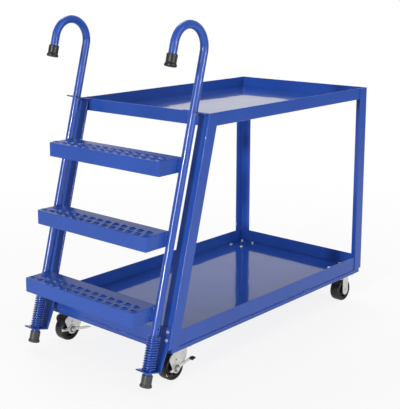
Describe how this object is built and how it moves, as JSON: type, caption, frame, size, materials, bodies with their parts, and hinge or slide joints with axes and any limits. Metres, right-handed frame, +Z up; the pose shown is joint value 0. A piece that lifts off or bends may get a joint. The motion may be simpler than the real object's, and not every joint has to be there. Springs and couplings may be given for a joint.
{
  "type": "order picking trolley",
  "caption": "Two-shelf picking cart on casters with a built-in ladder: hooked handrails, perforated steps, and springs that lift its rubber feet off the floor.",
  "frame": {"origin": "on the floor below the middle of the whole trolley", "axes": "+X from the ladder to the rear end, +Y to the left of a person facing the ladder, +Z up"},
  "size_m": [1.4594, 0.711, 1.3444],
  "materials": {
    "blue_paint": "glossy powder coat",
    "deck_sheet": "smooth high gloss paint",
    "rubber_tip": "matt moulded rubber",
    "tyre_rubber": "satin hard rubber",
    "hub_plastic": "moulded plastic",
    "zinc_steel": "bright zinc plate"
  },
  "bodies": {
    "cart": {"top_shelf_frame": "blue_paint", "top_deck": "deck_sheet", "bottom_shelf_frame": "blue_paint", "bottom_deck": "deck_sheet", "front_post_right": "blue_paint", "front_post_left": "blue_paint", "rear_post_right": "blue_paint", "rear_post_left": "blue_paint", "under_rim": "blue_paint", "front_cross_channel": "blue_paint", "rear_cross_channel": "blue_paint", "caster_bolts": "zinc_steel", "caster_nuts": "zinc_steel", "top_guide_left": "blue_paint", "spring_bracket_left": "blue_paint", "top_guide_right": "blue_paint", "spring_bracket_right": "blue_paint", "spring_left": "blue_paint", "spring_right": "blue_paint", "bracket_bolts_left": "zinc_steel", "bracket_bolts_right": "zinc_steel", "caster_plate_left": "zinc_steel", "king_pin_left": "zinc_steel", "rigid_fork_left": "zinc_steel", "rear_axle_left": "zinc_steel", "caster_plate_right": "zinc_steel", "king_pin_right": "zinc_steel", "rigid_fork_right": "zinc_steel", "rear_axle_right": "zinc_steel"},
    "ladder": {"handrail_left": "blue_paint", "grip_cap_left": "rubber_tip", "foot_tip_left": "rubber_tip", "spring_collar_left": "blue_paint", "stop_pin_left": "zinc_steel", "spring_pin_left": "zinc_steel", "handrail_right": "blue_paint", "grip_cap_right": "rubber_tip", "foot_tip_right": "rubber_tip", "spring_collar_right": "blue_paint", "stop_pin_right": "zinc_steel", "spring_pin_right": "zinc_steel", "step_bottom": "blue_paint", "step_middle": "blue_paint", "step_top": "blue_paint"},
    "swivel_left": {"swivel_fork_left": "zinc_steel", "front_axle_left": "zinc_steel"},
    "brake_left": {"brake_lever_left": "zinc_steel"},
    "front_wheel_left": {"front_wheel_left_hub": "hub_plastic", "front_wheel_left_tyre": "tyre_rubber"},
    "rear_wheel_left": {"rear_wheel_left_hub": "hub_plastic", "rear_wheel_left_tyre": "tyre_rubber"},
    "swivel_right": {"swivel_fork_right": "zinc_steel", "front_axle_right": "zinc_steel"},
    "brake_right": {"brake_lever_right": "zinc_steel"},
    "front_wheel_right": {"front_wheel_right_hub": "hub_plastic", "front_wheel_right_tyre": "tyre_rubber"},
    "rear_wheel_right": {"rear_wheel_right_hub": "hub_plastic", "rear_wheel_right_tyre": "tyre_rubber"}
  },
  "joints": [
    {"name": "ladder_slide", "type": "slide", "parent": "cart", "child": "ladder", "axis": [-0.2588, 0, -0.9659], "range_m": [0, 0.02], "stiffness_N_per_m": 17000, "springref_m": -0.018, "deforming": ["spring_left", "spring_right"]},
    {"name": "swivel_left", "type": "hinge", "parent": "cart", "child": "swivel_left", "pos_m": [-0.49332, 0.2935, 0.115], "axis": [0, 0, 1], "continuous": true},
    {"name": "front_wheel_spin_left", "type": "hinge", "parent": "swivel_left", "child": "front_wheel_left", "pos_m": [-0.52232, 0.2935, 0.051], "axis": [0, 1, 0], "continuous": true},
    {"name": "brake_pedal_left", "type": "hinge", "parent": "swivel_left", "child": "brake_left", "pos_m": [-0.52232, 0.2935, 0.051], "axis": [0, 1, 0], "range_deg": [-21, 0]},
    {"name": "rear_wheel_spin_left", "type": "hinge", "parent": "cart", "child": "rear_wheel_left", "pos_m": [0.65468, 0.2935, 0.051], "axis": [0, 1, 0], "continuous": true},
    {"name": "swivel_right", "type": "hinge", "parent": "cart", "child": "swivel_right", "pos_m": [-0.49332, -0.2935, 0.115], "axis": [0, 0, 1], "continuous": true},
    {"name": "front_wheel_spin_right", "type": "hinge", "parent": "swivel_right", "child": "front_wheel_right", "pos_m": [-0.52232, -0.2935, 0.051], "axis": [0, 1, 0], "continuous": true},
    {"name": "brake_pedal_right", "type": "hinge", "parent": "swivel_right", "child": "brake_right", "pos_m": [-0.52232, -0.2935, 0.051], "axis": [0, 1, 0], "range_deg": [0, 21]},
    {"name": "rear_wheel_spin_right", "type": "hinge", "parent": "cart", "child": "rear_wheel_right", "pos_m": [0.65468, -0.2935, 0.051], "axis": [0, 1, 0], "continuous": true}
  ]
}
